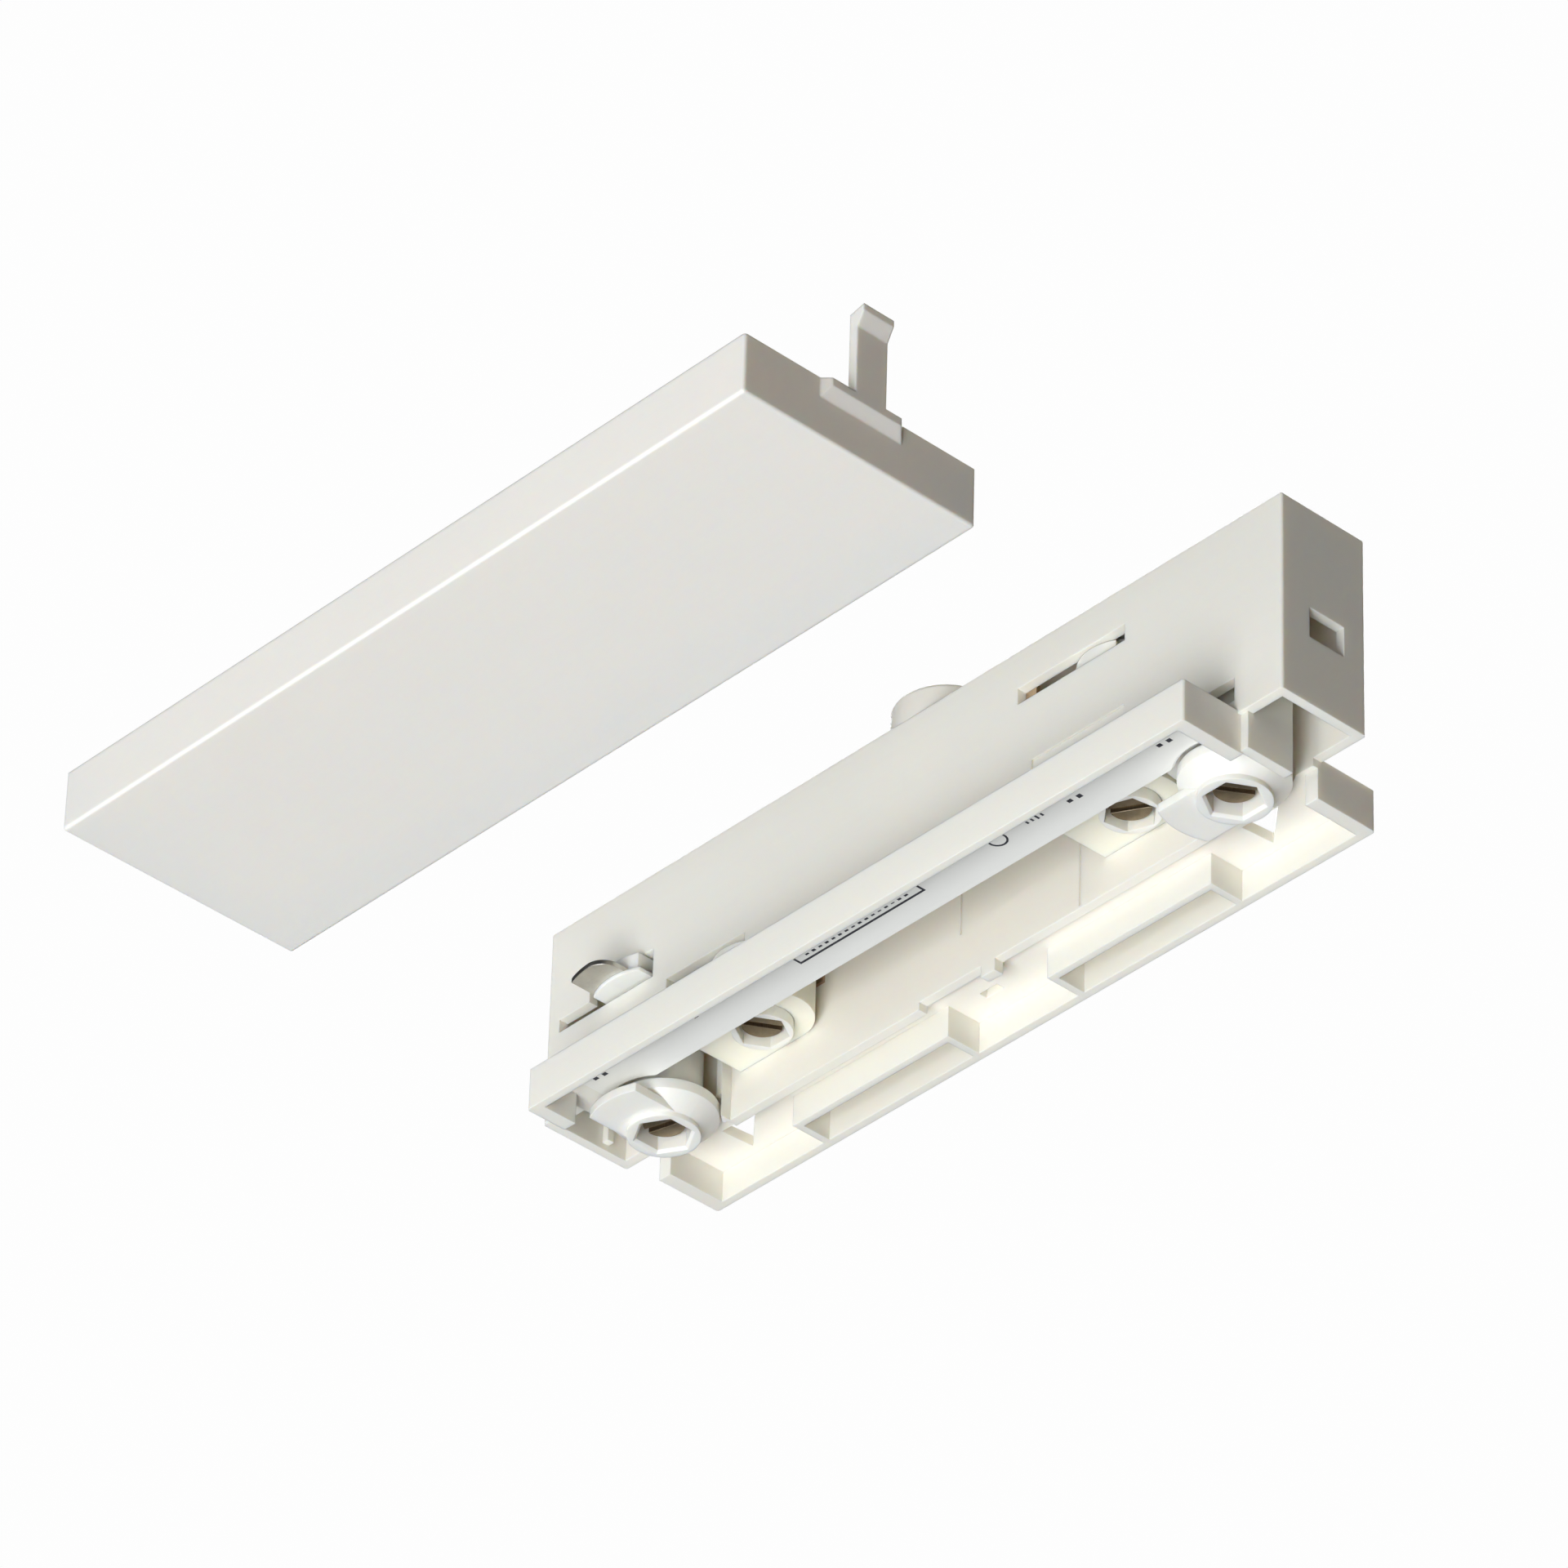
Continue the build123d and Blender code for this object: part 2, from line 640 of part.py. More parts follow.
# Earth blade: a thin plate round the left barrel's stem, with one rounded corner
with BuildPart() as earth_blade:
    with BuildSketch(Plane.XY.offset(earth_blade_bottom)) as tongue:
        with Locations((-lock_x + (earth_blade_right - earth_blade_left) / 2, -earth_blade_reach / 2)):
            Rectangle(earth_blade_left + earth_blade_right, earth_blade_reach)
        fillet(tongue.vertices().group_by(Axis.Y)[0].sort_by(Axis.X)[-1:], radius=earth_blade_corner)
        with Locations((-lock_x, 0)):
            Circle(earth_blade_reach, mode=Mode.INTERSECT)
            Circle(lock_body_radius)
            Circle(rotor_stem_radius, mode=Mode.SUBTRACT)
    extrude(amount=earth_blade_top - earth_blade_bottom)
earth_blade.part.label = "earth blade"


# Terminal blocks with one pocket for each wire
def terminal(poles, x_span, strips):
    """Add one terminal block and take the strips that pass through it out of it."""
    block(x_span, (near_face, terminal_back), (terminal_bottom, cavity_top))
    for x in poles:
        across = (x - pocket_half_width, x + pocket_half_width)
        block(across, (pocket_front, pocket_back), (pocket_bottom, pocket_top), Mode.SUBTRACT)
        drum(x, -1.6, wire_hole_radius, (terminal_bottom, pocket_bottom), Mode.SUBTRACT)
        release = (pocket_back - 1.7, pocket_back - 0.3)
        block((x - 1.0, x + 1.0), release, (terminal_bottom, pocket_bottom), Mode.SUBTRACT)
    for piece in strips:
        add(piece, mode=Mode.SUBTRACT)


with BuildPart() as terminal_block_left:
    terminal(
        (left_pole_1, left_pole_2, left_pole_3),
        (-left_terminal_end, -terminal_inner_x),
        (busbar_1.part, busbar_2.part, earth_bar.part),
    )
terminal_block_left.part.label = "terminal block left"

with BuildPart() as terminal_block_right:
    terminal(
        (right_pole_1, right_pole_2),
        (terminal_inner_x, right_terminal_end),
        (busbar_3.part, busbar_4.part),
    )
terminal_block_right.part.label = "terminal block right"

# Clamp springs, one bent leaf in each pocket
leaf = 0.3
pocket_middle = (pocket_front + pocket_back) / 2
springs = []
for x in (left_pole_1, left_pole_2, left_pole_3, right_pole_2, right_pole_1):
    with BuildPart() as spring:
        with BuildSketch(Plane.YZ.offset(x - 1.5)):
            Polygon(
                (pocket_back, pocket_bottom + 0.8),
                (pocket_back, pocket_top),
                (pocket_middle, pocket_top),
                (pocket_front + 1.0, pocket_bottom + 1.8),
                (pocket_front + 1.0 + leaf, pocket_bottom + 1.7),
                (pocket_middle + leaf, pocket_top - leaf),
                (pocket_back - leaf, pocket_top - leaf),
                (pocket_back - leaf, pocket_bottom + 0.8),
                align=None,
            )
        extrude(amount=3.0)
    springs.append(spring.part)

# Label strip stuck under the near half of the ceiling
label_thickness = 0.15
with BuildPart() as label_strip:
    label_x = (-tray_inner_x + 2.3, tray_inner_x - 0.9)
    label_y = (-tray_inner_y + 0.5, -cavity_half_width - 0.15)
    block(label_x, label_y, (-tray_ceiling - label_thickness, -tray_ceiling))
    for x in (-lock_x, lock_x):
        drum(x, 0, scallop_radius + 0.3, (-tray_ceiling - label_thickness, -tray_ceiling), Mode.SUBTRACT)
label_strip.part.label = "label strip"

# Save every piece
pieces = {
    "housing": housing.part,
    "cover": cover.part,
    "lock_barrel_left": lock_barrel_left.part,
    "lock_barrel_right": lock_barrel_right.part,
    "contact_rotor_left": contact_rotor_left.part,
    "contact_rotor_right": contact_rotor_right.part,
    "contact_blade_1": contact_blade_1.part,
    "contact_blade_2": contact_blade_2.part,
    "contact_blade_3": contact_blade_3.part,
    "contact_blade_4": contact_blade_4.part,
    "bearing_block_left": bearing_block_left.part,
    "bearing_block_right": bearing_block_right.part,
    "lock_screws": lock_screws.part,
    "rotor_screws": rotor_screws.part,
    "busbar_1": busbar_1.part,
    "busbar_2": busbar_2.part,
    "busbar_3": busbar_3.part,
    "busbar_4": busbar_4.part,
    "earth_bar": earth_bar.part,
    "earth_blade": earth_blade.part,
    "terminal_block_left": terminal_block_left.part,
    "terminal_block_right": terminal_block_right.part,
    "label_strip": label_strip.part,
}
for number, part in enumerate(springs, start=1):
    part.label = f"clamp spring {number}"
    pieces[f"clamp_spring_{number}"] = part
for name, part in pieces.items():
    export_step(part, f"parts/{name}.step")
    size = part.bounding_box().size
    print(name, len(part.solids()), [round(v, 2) for v in (size.X, size.Y, size.Z)], round(part.volume, 1))
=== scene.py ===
# %% [markdown]
# # A lighting track feed, seen from below
# The feed is a slim moulded beam with a shallow tray under it. Turning barrels lock it into
# its track, and small metal blades reach out of slots in its walls. Its cover has been taken
# off and lies beside it. Nearly all of it is one warm white plastic, so this lesson is about
# how light, soft edges and a fine grain make plain white parts read as real mouldings.

import json
import math

import bmesh
import bpy
from mathutils import Matrix, Vector


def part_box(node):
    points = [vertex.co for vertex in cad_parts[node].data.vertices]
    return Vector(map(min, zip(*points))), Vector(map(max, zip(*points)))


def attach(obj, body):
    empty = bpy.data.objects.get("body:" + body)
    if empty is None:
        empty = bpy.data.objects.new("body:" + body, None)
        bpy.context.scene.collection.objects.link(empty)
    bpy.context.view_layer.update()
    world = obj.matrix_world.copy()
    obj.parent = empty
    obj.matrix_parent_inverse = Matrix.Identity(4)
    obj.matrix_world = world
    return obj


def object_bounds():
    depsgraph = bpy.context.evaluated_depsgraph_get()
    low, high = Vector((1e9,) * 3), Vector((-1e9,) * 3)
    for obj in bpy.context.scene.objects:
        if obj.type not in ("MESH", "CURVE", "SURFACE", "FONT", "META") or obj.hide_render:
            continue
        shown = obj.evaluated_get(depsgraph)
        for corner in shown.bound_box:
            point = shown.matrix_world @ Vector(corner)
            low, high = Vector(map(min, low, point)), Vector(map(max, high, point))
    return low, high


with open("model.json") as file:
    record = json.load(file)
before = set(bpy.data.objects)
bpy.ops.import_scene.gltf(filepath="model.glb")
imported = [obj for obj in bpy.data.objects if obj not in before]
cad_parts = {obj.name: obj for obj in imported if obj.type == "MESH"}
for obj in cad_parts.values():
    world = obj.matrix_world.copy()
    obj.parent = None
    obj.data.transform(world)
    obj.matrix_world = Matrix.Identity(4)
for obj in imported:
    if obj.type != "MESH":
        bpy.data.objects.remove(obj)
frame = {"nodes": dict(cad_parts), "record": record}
nodes = frame["nodes"]
solid_low, solid_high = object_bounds()
MM = 0.001
solid_size = [round(v / MM, 1) for v in solid_high - solid_low]
print("pieces loaded:", len(nodes), "size in mm:", solid_size)

# %% [markdown]
# ## The camera first
# The picture was taken with a long lens from under the tray, looking up past its near right
# corner. A long lens keeps parallel edges nearly parallel. The three directions below are the
# picture's right, its up and the way back to the camera, so they are the columns of the
# camera's turning matrix.

# %% Place the camera
PICTURE_WIDTH = 1920  # pixels
FOCAL_LENGTH = 12771.8  # pixels
SENSOR_WIDTH = 36.0  # millimetres
CAMERA_PLACE = Vector((749.3, -698.9, -720.0)) * MM
NEAREST_SEEN = 0.05
FARTHEST_SEEN = 200.0

picture_right = Vector((0.6809, 0.7319, 0.0247)).normalized()
picture_back = Vector((0.6029, -0.5411, -0.5863)).normalized()
picture_up = picture_back.cross(picture_right).normalized()
picture_right = picture_up.cross(picture_back)
turn = Matrix((picture_right, picture_up, picture_back)).transposed().to_4x4()

camera = bpy.data.objects.new("camera", bpy.data.cameras.new("camera"))
bpy.context.scene.collection.objects.link(camera)
camera.matrix_world = Matrix.Translation(CAMERA_PLACE) @ turn
camera.data.sensor_width = SENSOR_WIDTH
camera.data.lens = FOCAL_LENGTH / PICTURE_WIDTH * SENSOR_WIDTH
camera.data.clip_start = NEAREST_SEEN
camera.data.clip_end = FARTHEST_SEEN
bpy.context.scene.camera = camera
print("lens in mm:", round(camera.data.lens, 1))

# %% [markdown]
# ## One class for node networks
# Materials and Geometry Nodes are both networks of nodes joined by wires. `Wire` holds one
# output socket and answers to plus, minus and times by adding Math nodes, so a pattern can be
# written as a sum. `Network.node` makes every other node: its settings go in first, because
# some of them change which sockets the node has.

# %% Wire and Network
class Wire:
    """One output socket that takes part in Python arithmetic."""

    def __init__(self, network, socket):
        self.network = network
        self.socket = socket

    def _math(self, operation, *values):
        settings = {"operation": operation}
        return self.network.node("ShaderNodeMath", settings, dict(enumerate(values)))

    def __add__(self, other):
        return self._math("ADD", self, other)

    __radd__ = __add__

    def __mul__(self, other):
        return self._math("MULTIPLY", self, other)

    def __sub__(self, other):
        return self._math("SUBTRACT", self, other)

    def absolute(self):
        return self._math("ABSOLUTE", self)

    def sine(self):
        return self._math("SINE", self)

    def root(self):
        return self._math("SQRT", self)

    def smaller(self, other):
        return self._math("MINIMUM", self, other)

    def larger(self, other):
        return self._math("MAXIMUM", self, other)


class Network:
    """A node tree with one method that makes any node in it."""

    def __init__(self, tree):
        self.tree = tree

    def node(self, kind, settings=None, inputs=None, output=0):
        """Make a node, set it up, join or fill its inputs and return one output as a wire."""
        made = self.tree.nodes.new(kind)
        for key, value in (settings or {}).items():
            setattr(made, key, value)
        for key, value in (inputs or {}).items():
            socket = made.inputs[key]
            if isinstance(value, Wire):
                self.tree.links.new(value.socket, socket)
            else:
                socket.default_value = value
        return Wire(self, made.outputs[output]) if len(made.outputs) else made

    def mix(self, amount, first, second):
        """Blend two colours, each a wire or three numbers."""
        return self.node(
            "ShaderNodeMix",
            {"data_type": "RGBA"},
            {0: amount, 6: rgba(first), 7: rgba(second)},
            output=2,
        )


def rgba(colour):
    """A wire as it is, or three numbers with a full fourth one."""
    return colour if isinstance(colour, Wire) else (*colour, 1.0)


print("network helpers ready")

# %% [markdown]
# ## A finish and what it reads
# Every finish reads Object coordinates, which are the part's own metres here, so a grain has
# the same size on every piece. `noise` stretches those coordinates before it looks up a cloud
# pattern: a pull along one direction gives flow marks in plastic and rolling lines in metal.

# %% Finish
class Finish(Network):
    """A material with a Principled shader and patterns in the part's own metres."""

    def __init__(self, name):
        self.material = bpy.data.materials.new(name)
        self.material.use_nodes = True
        super().__init__(self.material.node_tree)
        self.tree.nodes.clear()
        self.place = self.node("ShaderNodeTexCoord", output="Object")

    def noise(self, per_metre, stretch=(1, 1, 1), detail=2.0, roughness=0.5):
        """A cloud pattern from 0 to 1 with about this many clouds in a metre."""
        pulled = self.node("ShaderNodeMapping", {}, {"Vector": self.place, "Scale": stretch})
        return self.node(
            "ShaderNodeTexNoise",
            {},
            {"Vector": pulled, "Scale": per_metre, "Detail": detail, "Roughness": roughness},
        )

    def axes(self):
        """The three object coordinates as separate wires."""
        split = self.tree.nodes.new("ShaderNodeSeparateXYZ")
        self.tree.links.new(self.place.socket, split.inputs[0])
        return [Wire(self, socket) for socket in split.outputs]

    def soft_edges(self, radius):
        """A normal that bends round every edge, as a mould's edges do."""
        return self.node("ShaderNodeBevel", {"samples": 4}, {"Radius": radius})

    def close(self, colour, roughness, height, depth, normal=None, **constants):
        """Join the patterns to the shader and end the network."""
        bump_inputs = {"Height": height, "Strength": 1.0, "Distance": depth}
        if normal is not None:
            bump_inputs["Normal"] = normal
        bump = self.node("ShaderNodeBump", {}, bump_inputs)
        inputs = {"Base Color": colour, "Roughness": roughness, "Normal": bump}
        inputs.update({key.replace("_", " "): value for key, value in constants.items()})
        shader = self.node("ShaderNodeBsdfPrincipled", {}, inputs)
        self.node("ShaderNodeOutputMaterial", {}, {"Surface": shader})
        return self.material


print("finish class ready")

# %% [markdown]
# ## Moulded plastic
# A moulded part is never one flat white. The melt leaves long faint streaks along the way it
# ran, broad clouds where it cooled slower, and the mould's spark-worn skin leaves a grain of a
# few hundredths of a millimetre. The streaks and clouds go into colour and roughness, the
# grain into a bump, and a rounded normal takes the knife edge off every corner. The walls are
# thin enough to let some light through, red further than blue, which warms the hollows.

# %% Moulded plastic
CLOUDS_PER_METRE = 38
STREAKS_PER_METRE = 90
GRAINS_PER_METRE = 2600
PITS_PER_METRE = 6400
FLOW_ALONG_X = (1, 12, 12)
FLOW_ALONG_Z = (12, 12, 1)
PIT_LEVEL = 0.68
PIT_SHADE = 0.8
GRAIN_DEPTH = 0.012 * MM
PLASTIC_IOR = 1.49
LIGHT_LET_IN = 0.5
LIGHT_REACH = 1.6 * MM
REACH_OF_RED_GREEN_BLUE = (1.0, 0.74, 0.45)


def moulded_plastic(name, tint, shade, sheen=0.44, edge=0.16, flow=FLOW_ALONG_X):
    """Plastic that varies from tint to shade; the edge's radius is in millimetres."""
    finish = Finish(name)
    clouds = finish.noise(CLOUDS_PER_METRE, detail=3.0)
    streaks = finish.noise(STREAKS_PER_METRE, flow, detail=4.0, roughness=0.6)
    skin = finish.noise(GRAINS_PER_METRE, detail=3.0, roughness=0.6)
    pits = finish.noise(PITS_PER_METRE, detail=1.0)
    colour = finish.mix(clouds * 0.55 + streaks * 0.45, tint, shade)
    speck = (pits - PIT_LEVEL).larger(0.0) * 0.5
    colour = finish.mix(speck, colour, [channel * PIT_SHADE for channel in shade])
    return finish.close(
        colour,
        roughness=sheen + (streaks - 0.5) * 0.12 + (skin - 0.5) * 0.10,
        height=skin * 0.7 + pits * 0.3,
        depth=GRAIN_DEPTH,
        normal=finish.soft_edges(edge * MM),
        IOR=PLASTIC_IOR,
        Subsurface_Weight=LIGHT_LET_IN,
        Subsurface_Radius=REACH_OF_RED_GREEN_BLUE,
        Subsurface_Scale=LIGHT_REACH,
    )


polished = {"sheen": 0.38, "flow": FLOW_ALONG_Z}
plastic_looks = {
    "housing": ((0.84, 0.815, 0.73), (0.81, 0.78, 0.685), {}),
    "cover": ((0.805, 0.785, 0.72), (0.78, 0.757, 0.688), {"sheen": 0.5, "edge": 0.4}),
    "barrel": ((0.87, 0.852, 0.78), (0.84, 0.817, 0.735), polished),
    "rotor": ((0.86, 0.837, 0.75), (0.83, 0.797, 0.70), polished),
    "block": ((0.85, 0.822, 0.69), (0.81, 0.775, 0.63), {"edge": 0.14}),
    "terminal": ((0.78, 0.75, 0.66), (0.72, 0.68, 0.57), {}),
}
plastics = {
    f"{kind}_plastic": moulded_plastic(f"{kind} plastic", tint, shade, **extras)
    for kind, (tint, shade, extras) in plastic_looks.items()
}
print("plastics:", len(plastics))

# %% [markdown]
# ## Metal strip
# Blades, busbars and springs are punched from rolled strip. Rolling leaves fine parallel
# lines, handling leaves a duller cloud here and there, and punching leaves a bright edge. The
# lines are a noise that is pulled very long in one direction. Brass and copper get their
# colour from the shader's Base Color with Metallic at 1.

# %% Rolled metal
LINES_PER_METRE = 120
TARNISH_PER_METRE = 260
ROLLED_ALONG_X = (1, 60, 60)
ROLLED_ALONG_Z = (60, 60, 1)
CLEAN_LEVEL = 0.42
ROLLED_ROUGHNESS = 0.32
LINE_DEPTH = 0.004 * MM
PUNCHED_EDGE = 0.12 * MM


def rolled_metal(name, bright, dull, rolling=ROLLED_ALONG_X):
    """Strip metal with rolling lines, from a bright colour to a dull one."""
    finish = Finish(name)
    lines = finish.noise(LINES_PER_METRE, rolling, detail=3.0, roughness=0.7)
    tarnish = finish.noise(TARNISH_PER_METRE, detail=4.0, roughness=0.65)
    stain = ((tarnish - CLEAN_LEVEL) * 2.2).larger(0.0).smaller(1.0)
    return finish.close(
        finish.mix(stain * 0.7 + lines * 0.3, bright, dull),
        roughness=ROLLED_ROUGHNESS + stain * 0.18 + (lines - 0.5) * 0.12,
        height=lines,
        depth=LINE_DEPTH,
        normal=finish.soft_edges(PUNCHED_EDGE),
        Metallic=1.0,
    )


metals = {
    "contact_metal": rolled_metal("blade brass", (0.80, 0.66, 0.40), (0.52, 0.41, 0.24)),
    "busbar_metal": rolled_metal("busbar copper", (0.62, 0.47, 0.32), (0.36, 0.26, 0.17)),
    "earth_metal": rolled_metal("earth blade tin", (0.74, 0.72, 0.66), (0.50, 0.47, 0.40)),
    "spring_steel": rolled_metal(
        "spring steel", (0.70, 0.71, 0.72), (0.47, 0.46, 0.44), rolling=ROLLED_ALONG_Z
    ),
}
print("rolled metals:", len(metals))

# %% [markdown]
# ## Turned screws
# The pivot screws were cut on a lathe, so their marks run in rings about their own axes. The
# distance to an axis comes from the object coordinates: folding X at zero puts all four screws
# on two axes, and the nearer one counts. Their dark tone is painted shade of the deep sockets.

# %% Turned metal
LOCK_X = 49.5 * MM
ROTOR_X = 32.0 * MM
RING_PITCH = 0.14 * MM
RING_DEPTH = 0.006 * MM
SOCKET_SHADE_AND_GRIME_PER_METRE = 700
TURNED_ROUGHNESS = 0.26
TURNED_EDGE = 0.14 * MM


def turned_metal(name, bright, dull):
    """Lathe-turned metal with rings about the nearest screw axis; its dark dull tone is painted
    socket shade, spread by a random grime cloud.
    """
    finish = Finish(name)
    x, y, _ = finish.axes()
    folded = x.absolute()
    across = (folded - LOCK_X).absolute().smaller((folded - ROTOR_X).absolute())
    reach = (across * across + y * y).root()
    rings = (reach * (2 * math.pi / RING_PITCH)).sine() * 0.5 + 0.5
    # Painted shade: the cloud mixes mostly towards the dark tone, which stands for the shade
    # deep in the hex sockets; the random spread is grime.
    socket_shade_and_grime = finish.noise(SOCKET_SHADE_AND_GRIME_PER_METRE, detail=4.0, roughness=0.65)
    return finish.close(
        finish.mix((socket_shade_and_grime * 0.8 + rings * 0.2), bright, dull),
        roughness=TURNED_ROUGHNESS + socket_shade_and_grime * 0.2 + rings * 0.06,
        height=rings,
        depth=RING_DEPTH,
        normal=finish.soft_edges(TURNED_EDGE),
        Metallic=1.0,
    )


# The dull colour is painted shade: it is darkened so the heads look as shaded as they do at the
# bottom of their deep hex sockets.
metals["screw_metal"] = turned_metal(
    "turned screw steel", (0.46, 0.37, 0.25), (0.14, 0.105, 0.065)
)
print("metals:", len(metals))

# %% [markdown]
# ## Label film
# The label is a thin pale film stuck under the tray's near half. Paper-like fibres give it a
# slight tone, and a few long creases from being pressed on give it a soft wave.

# %% Label film
FIBRES_PER_METRE = 1500
FIBRE_STRETCH = (1, 6, 6)
WAVES_PER_METRE = 70
WAVE_STRETCH = (1, 4, 1)
WAVE_DEPTH = 0.06 * MM
FILM_ROUGHNESS = 0.36


def label_film(name, light, dark):
    """Printed film with fibres and a soft wave."""
    finish = Finish(name)
    fibres = finish.noise(FIBRES_PER_METRE, FIBRE_STRETCH, detail=4.0, roughness=0.7)
    waves = finish.noise(WAVES_PER_METRE, WAVE_STRETCH, detail=1.0)
    return finish.close(
        finish.mix(fibres * 0.6 + waves * 0.4, light, dark),
        roughness=FILM_ROUGHNESS + (fibres - 0.5) * 0.1,
        height=fibres * 0.2 + waves,
        depth=WAVE_DEPTH,
    )


label_finish = label_film("label film", (0.89, 0.88, 0.81), (0.84, 0.83, 0.765))
finishes = {**plastics, **metals, "label_film": label_finish}

slot_of_node = {entry["node"]: entry["material_slot"] for entry in frame["record"]["subparts"]}
for node_name, piece in nodes.items():
    finish = finishes[slot_of_node[node_name]]
    if not piece.material_slots:
        piece.data.materials.append(finish)
    for material_slot in piece.material_slots:
        material_slot.material = finish
print("nodes finished:", len(nodes))

# %% [markdown]
# ## Print on the label
# The label carries a row of small marks: pairs of dots, an outlined field with ticks in it,
# and a round mark. They carry no words here. Ink has next to no thickness, so each mark is a
# flat chip a fiftieth of a millimetre thick that sits on the film. Repeated chips come from
# Geometry Nodes: a line of points, a chip on each, a random length from a fixed seed.

# %% Ink
WEAR_PER_METRE = 3000
WEAR_LEVEL = 0.45
WEAR_DEPTH = 0.004 * MM
INK_ROUGHNESS = 0.4


def printing_ink(name, black, worn):
    """Black ink with paler worn patches."""
    finish = Finish(name)
    wear = finish.noise(WEAR_PER_METRE, detail=3.0)
    return finish.close(
        finish.mix((wear - WEAR_LEVEL).larger(0.0) * 1.6, black, worn),
        roughness=INK_ROUGHNESS + wear * 0.2,
        height=wear,
        depth=WEAR_DEPTH,
    )


ink = printing_ink("label ink", (0.025, 0.025, 0.03), (0.16, 0.16, 0.18))
label_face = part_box("label_strip")[0].z / MM
INK_THICKNESS = 0.02  # millimetres
INK_OVERLAP = 0.004  # millimetres that the ink goes into the film
ink_z = label_face - 0.5 * INK_THICKNESS + INK_OVERLAP
print("label face at z =", round(label_face, 3))

# %% Geometry Nodes tree for rows of chips
def chip_row_tree():
    """A tree with inputs for the row's start, step and count, the chip's size and the seed."""
    tree = bpy.data.node_groups.new("row of printed chips", "GeometryNodeTree")
    tree.interface.new_socket("Geometry", in_out="OUTPUT", socket_type="NodeSocketGeometry")
    wanted = (
        ("Start", "NodeSocketVector"),
        ("Step", "NodeSocketVector"),
        ("Chip size", "NodeSocketVector"),
        ("Count", "NodeSocketInt"),
        ("Shortest", "NodeSocketFloat"),
        ("Seed", "NodeSocketInt"),
        ("Ink", "NodeSocketMaterial"),
    )
    for name, kind in wanted:
        tree.interface.new_socket(name, in_out="INPUT", socket_type=kind)
    network = Network(tree)
    group_in = tree.nodes.new("NodeGroupInput")
    given = {name: Wire(network, group_in.outputs[name]) for name, _ in wanted}
    row = network.node(
        "GeometryNodeMeshLine",
        {"mode": "OFFSET"},
        {"Count": given["Count"], "Start Location": given["Start"], "Offset": given["Step"]},
    )
    chip = network.node("GeometryNodeMeshCube", {}, {"Size": given["Chip size"]})
    length = network.node(
        "FunctionNodeRandomValue",
        {"data_type": "FLOAT"},
        {2: given["Shortest"], 3: 1.0, "Seed": given["Seed"]},
        output=1,
    )
    scale = network.node("ShaderNodeCombineXYZ", {}, {0: 1.0, 1: length, 2: 1.0})
    chips = network.node(
        "GeometryNodeInstanceOnPoints", {}, {"Points": row, "Instance": chip, "Scale": scale}
    )
    real = network.node("GeometryNodeRealizeInstances", {}, {0: chips})
    inked = network.node(
        "GeometryNodeSetMaterial", {}, {"Geometry": real, "Material": given["Ink"]}
    )
    group_out = tree.nodes.new("NodeGroupOutput")
    tree.links.new(inked.socket, group_out.inputs["Geometry"])
    return tree


chip_tree = chip_row_tree()
tree_inputs = [item for item in chip_tree.interface.items_tree if item.in_out == "INPUT"]
print("tree inputs:", [item.name for item in tree_inputs])

# %% Run the tree once for each row and keep plain meshes
def chip_row(start, step, size, count, shortest, seed):
    """Return the mesh of one printed row; all lengths are in millimetres."""
    host = bpy.data.objects.new("row host", bpy.data.meshes.new("row host"))
    bpy.context.scene.collection.objects.link(host)
    modifier = host.modifiers.new("row", "NODES")
    modifier.node_group = chip_tree
    values = {
        "Start": Vector((*start, ink_z)) * MM,
        "Step": Vector((*step, 0)) * MM,
        "Chip size": Vector((*size, INK_THICKNESS)) * MM,
        "Count": count,
        "Shortest": shortest,
        "Seed": seed,
        "Ink": ink,
    }
    for item in tree_inputs:
        modifier[item.identifier] = values[item.name]
    bpy.context.view_layer.update()
    evaluated = host.evaluated_get(bpy.context.evaluated_depsgraph_get())
    mesh = bpy.data.meshes.new_from_object(evaluated)
    bpy.data.objects.remove(host)
    return mesh


print_meshes = []
for x, y in ((-50.6, -10.4), (-33.7, -11.0), (31.9, -9.8), (47.2, -10.1)):
    print_meshes.append(chip_row((x, y), (1.5, 0.1), (0.7, 0.8), 2, 0.6, seed=int(x * 10)))
print("dot pairs:", len(print_meshes))

# %% The outlined field, its ticks and the round mark
def flat_outline(corners, width):
    """A closed line of ink through the corners, drawn inwards; all lengths in millimetres."""
    mesh = bmesh.new()
    count = len(corners)
    low = Vector((min(x for x, _ in corners), min(y for _, y in corners)))
    high = Vector((max(x for x, _ in corners), max(y for _, y in corners)))
    middle = (low + high) / 2
    half = (high - low) / 2
    shrink = Vector((1 - width / half.x, 1 - width / half.y))
    rings = []
    for z in (ink_z - INK_THICKNESS / 2, ink_z + INK_THICKNESS / 2):
        for factor in (Vector((1.0, 1.0)), shrink):
            ring = []
            for corner in corners:
                moved = middle + (Vector(corner) - middle) * factor
                ring.append(mesh.verts.new((moved.x * MM, moved.y * MM, z * MM)))
            rings.append(ring)
    low_out, low_in, high_out, high_in = rings
    for i in range(count):
        j = (i + 1) % count
        mesh.faces.new((low_out[i], low_in[i], low_in[j], low_out[j]))
        mesh.faces.new((high_out[i], high_out[j], high_in[j], high_in[i]))
        mesh.faces.new((low_out[i], low_out[j], high_out[j], high_out[i]))
        mesh.faces.new((low_in[j], low_in[i], high_in[i], high_in[j]))
    bmesh.ops.recalc_face_normals(mesh, faces=mesh.faces)
    made = bpy.data.meshes.new("printed outline")
    mesh.to_mesh(made)
    mesh.free()
    made.materials.append(ink)
    return made


def circle_corners(x, y, radius, count=28):
    """Corners of a many-sided ring about a point."""
    angles = (2 * math.pi * i / count for i in range(count))
    return [(x + radius * math.cos(a), y + radius * math.sin(a)) for a in angles]


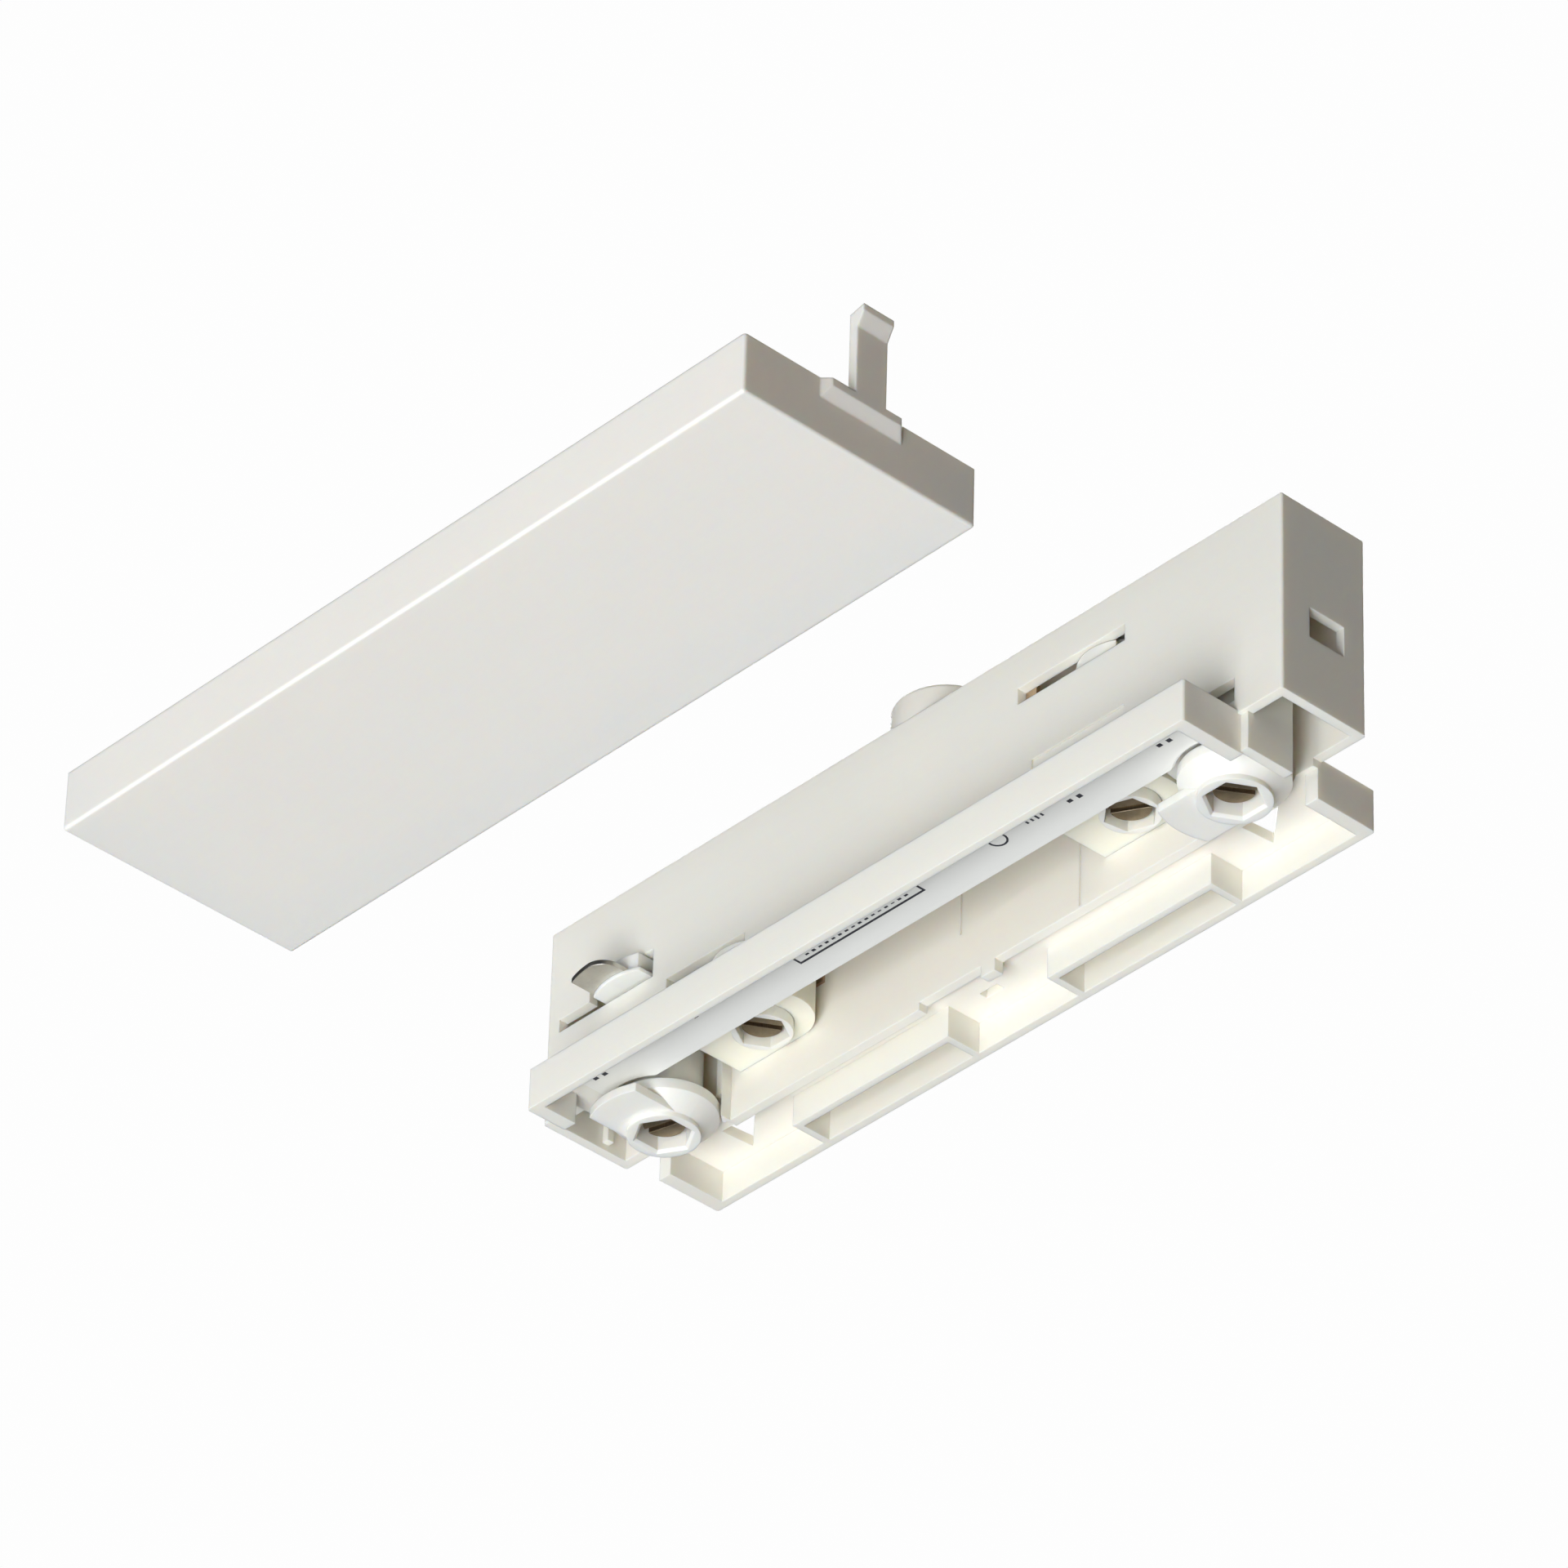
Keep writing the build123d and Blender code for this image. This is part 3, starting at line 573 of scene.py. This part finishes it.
field_corners = ((-15.0, -13.4), (6.8, -13.4), (6.8, -9.3), (-15.0, -9.3))
print_meshes.append(flat_outline(field_corners, 0.32))
print_meshes.append(flat_outline(circle_corners(20.2, -10.4, 1.35), 0.28))
tick_rows = (
    # start, step, chip size, count, shortest, seed
    ((-12.9, -10.25), (1.15, 0), (0.55, 0.4), 16, 0.35, 5),
    ((25.2, -10.3), (0.8, 0.02), (0.3, 0.8), 4, 0.5, 8),
    ((-30.0, -12.2), (0.9, 0), (0.3, 1.0), 9, 0.5, 3),
    ((36.0, -12.4), (0.9, 0), (0.3, 1.0), 10, 0.5, 4),
)
for row in tick_rows:
    print_meshes.append(chip_row(*row))

joined = bmesh.new()
for mesh in print_meshes:
    joined.from_mesh(mesh)
label_print_mesh = bpy.data.meshes.new("label_print")
joined.to_mesh(label_print_mesh)
joined.free()
label_print_mesh.materials.append(ink)
label_print = bpy.data.objects.new("label_print", label_print_mesh)
bpy.context.scene.collection.objects.link(label_print)
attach(label_print, "housing_body")
print("ink faces:", len(label_print_mesh.polygons))

# %% [markdown]
# ## Soft studio light
# The picture has a clean pale ground and soft light from the near side and from below, so the
# near walls and undersides are bright and the right-hand ends fall into shade. The front panel
# stands near the camera and does most of that. The key panel on the left lifts the near walls,
# and the low panel reaches the ceiling behind the tray's near wall. A weak panel at the right
# keeps the ends from going black, and the back panel lights the roof, which the picture doesn't
# show. The light is slightly cool and the plastic slightly creamy: faces in full light look
# neutral, and light that has bounced inside the hollows turns warm. Each panel is aimed at the
# part's middle, and its power follows from the brightness that is wanted at the part.

# %% Light panels
part_middle = (solid_low + solid_high) / 2


def light_panel(name, direction, distance, side, brightness, tint):
    """A square area light whose light on a facing white sheet would read as `brightness`."""
    lamp = bpy.data.lights.new(name, "AREA")
    lamp.shape = "SQUARE"
    lamp.size = side
    lamp.energy = brightness * math.pi * math.pi * distance * distance
    lamp.color = tint
    panel = bpy.data.objects.new(name, lamp)
    bpy.context.scene.collection.objects.link(panel)
    away = Vector(direction).normalized()
    panel.location = part_middle + away * distance
    panel.rotation_mode = "QUATERNION"
    panel.rotation_quaternion = away.to_track_quat("Z", "Y")
    return panel


COOL = (0.905, 0.935, 1.0)
WARM = (1.0, 0.93, 0.84)
panels = [
    light_panel("key panel", (-0.35, -0.92, -0.17), 1.5, 1.2, 0.45, COOL),
    light_panel("front panel", (0.24, -0.66, -0.71), 2.2, 1.4, 1.25, COOL),
    light_panel("low panel", (-0.10, 0.0, -1.0), 1.5, 1.3, 0.20, COOL),
    light_panel("right panel", (0.93, -0.30, 0.22), 1.2, 0.7, 0.12, WARM),
    light_panel("back panel", (-0.45, 0.55, 0.70), 1.4, 1.0, 1.35, COOL),
]
print("panels:", [round(panel.data.energy, 1) for panel in panels])

# %% [markdown]
# ## Pale ground
# The feed hangs in the air and is seen from below, so a floor close under it would hide it.
# The floor lies well below the camera instead. It glows evenly and only the camera sees it,
# and the world round it does the same, so neither washes out the shade on the part.

# %% Floor and world
PALE = (0.985, 0.985, 0.985)
FLOOR_REACH = 20.0
FLOOR_Z = -1.7


def emptied(tree):
    """A network on a tree whose default nodes have been taken out."""
    tree.nodes.clear()
    return Network(tree)


floor_mesh = bpy.data.meshes.new("floor")
floor_corners = [
    (x * FLOOR_REACH, y * FLOOR_REACH, FLOOR_Z) for x, y in ((-1, -1), (1, -1), (1, 1), (-1, 1))
]
floor_mesh.from_pydata(floor_corners, [], [(0, 1, 2, 3)])
floor = bpy.data.objects.new("floor", floor_mesh)
bpy.context.scene.collection.objects.link(floor)
floor_finish = bpy.data.materials.new("pale floor")
floor_finish.use_nodes = True
floor_network = emptied(floor_finish.node_tree)
glow = {"Color": rgba(PALE), "Strength": 1.0}
floor_glow = floor_network.node("ShaderNodeEmission", {}, glow)
floor_network.node("ShaderNodeOutputMaterial", {}, {"Surface": floor_glow})
floor_mesh.materials.append(floor_finish)
floor.visible_diffuse = False
floor.visible_glossy = False
floor.visible_shadow = False

world = bpy.data.worlds.new("pale world")
world.use_nodes = True
world_network = emptied(world.node_tree)
world_glow = world_network.node("ShaderNodeBackground", {}, glow)
world_network.node("ShaderNodeOutputWorld", {}, {"Surface": world_glow})
world.cycles_visibility.diffuse = False
world.cycles_visibility.glossy = False
world.cycles_visibility.transmission = False
world.cycles_visibility.scatter = False
bpy.context.scene.world = world
bpy.context.scene.view_settings.view_transform = "Standard"
print("floor and world ready")
